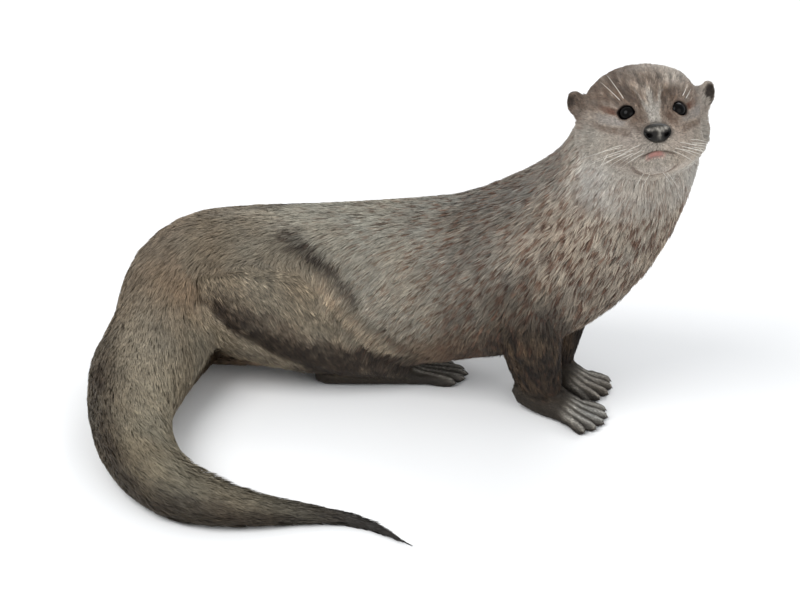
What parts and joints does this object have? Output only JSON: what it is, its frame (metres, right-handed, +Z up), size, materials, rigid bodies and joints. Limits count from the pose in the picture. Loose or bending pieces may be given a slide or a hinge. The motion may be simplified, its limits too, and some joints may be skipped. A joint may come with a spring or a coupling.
{
  "type": "river otter model",
  "caption": "Life-size still model of a river otter standing low on four feet, head turned to its right and thick tail swept forward along the floor.",
  "frame": {"origin": "on the floor under the middle of the whole model", "axes": "+X along the trunk towards the shoulders, +Y to the animal's left, +Z up"},
  "size_m": [0.5638, 0.4312, 0.3657],
  "materials": {
    "coat": "short dense fur, grey-brown, soft sheen",
    "coat_face": "short fur, brown crown with paler cheeks and throat",
    "coat_tail": "short dense fur, dark along the outer edge",
    "coat_dark": "short dark brown fur",
    "paw": "thinly furred dark skin",
    "eye": "polished, dark brown",
    "nose": "bare moist skin, finely pebbled",
    "claw": "horn, dull gloss",
    "whisker": "stiff pale bristle",
    "mouth": "soft skin"
  },
  "bodies": {
    "root": {"chest": "coat", "claw_fore_left_1": "claw", "claw_fore_left_2": "claw", "claw_fore_left_3": "claw", "claw_fore_left_4": "claw", "claw_fore_left_5": "claw", "claw_fore_right_1": "claw", "claw_fore_right_2": "claw", "claw_fore_right_3": "claw", "claw_fore_right_4": "claw", "claw_fore_right_5": "claw", "claw_hind_left_1": "claw", "claw_hind_left_2": "claw", "claw_hind_left_3": "claw", "claw_hind_left_4": "claw", "claw_hind_left_5": "claw", "claw_hind_right_1": "claw", "claw_hind_right_2": "claw", "claw_hind_right_3": "claw", "claw_hind_right_4": "claw", "claw_hind_right_5": "claw", "ear_left": "coat_dark", "ear_right": "coat_dark", "eye_left": "eye", "eye_right": "eye", "head": "coat_face", "hips": "coat", "leg_fore_left": "coat_dark", "leg_fore_right": "coat_dark", "leg_hind_left": "coat_dark", "leg_hind_right": "coat_dark", "loin": "coat", "neck": "coat", "nose": "nose", "paw_fore_left": "paw", "paw_fore_right": "paw", "paw_hind_left": "paw", "paw_hind_right": "paw", "tail_end": "coat_tail", "tail_middle": "coat_tail", "tail_root": "coat_tail", "tail_tip": "coat_dark"}
  },
  "joints": []
}
